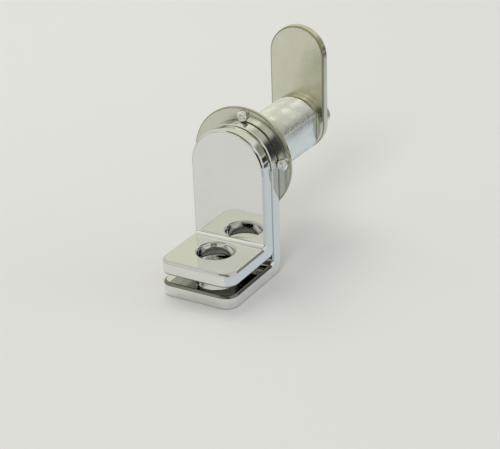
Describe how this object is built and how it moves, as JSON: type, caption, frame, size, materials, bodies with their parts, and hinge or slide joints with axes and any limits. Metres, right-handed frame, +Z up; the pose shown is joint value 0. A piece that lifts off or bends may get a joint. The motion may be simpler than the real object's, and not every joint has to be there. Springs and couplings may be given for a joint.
{
  "type": "padlock hasp cam latch",
  "caption": "Panel cam latch with two bent chrome hasp tabs: the front hasp turns the cam a quarter turn, and a shackle through both tabs holds it shut.",
  "frame": {"origin": "on the turning axis, in the plane of the panel face that the flange plate seats on", "axes": "+Y runs back along the barrel to the cam, the user stands on the -Y side, +Z is up"},
  "size_m": [0.0335, 0.0763, 0.0664],
  "materials": {
    "hasp_chrome": "polished chrome plate",
    "flange_satin": "satin nickel plate",
    "pin_steel": "bright turned steel",
    "barrel_nickel": "nickel plated, fine thread",
    "spindle_steel": "turned steel",
    "bearing_plastic": "natural acetal",
    "cam_nickel": "satin nickel plate",
    "fastener_zinc": "bright zinc plate"
  },
  "bodies": {
    "fixed_set": {"threaded_barrel": "barrel_nickel", "flange_plate": "flange_satin", "locating_pins": "pin_steel", "fixed_hasp": "hasp_chrome"},
    "turning_set": {"swing_hasp": "hasp_chrome", "thrust_washer": "bearing_plastic", "spindle": "spindle_steel", "wave_washer": "spindle_steel", "stop_washer": "cam_nickel", "cam": "cam_nickel", "lock_washer": "fastener_zinc", "cam_nut": "fastener_zinc"}
  },
  "joints": [
    {"name": "hasp_turn", "type": "hinge", "parent": "fixed_set", "child": "turning_set", "pos_m": [0, 0, 0], "axis": [0, 1, 0], "range_deg": [0, 90]}
  ]
}
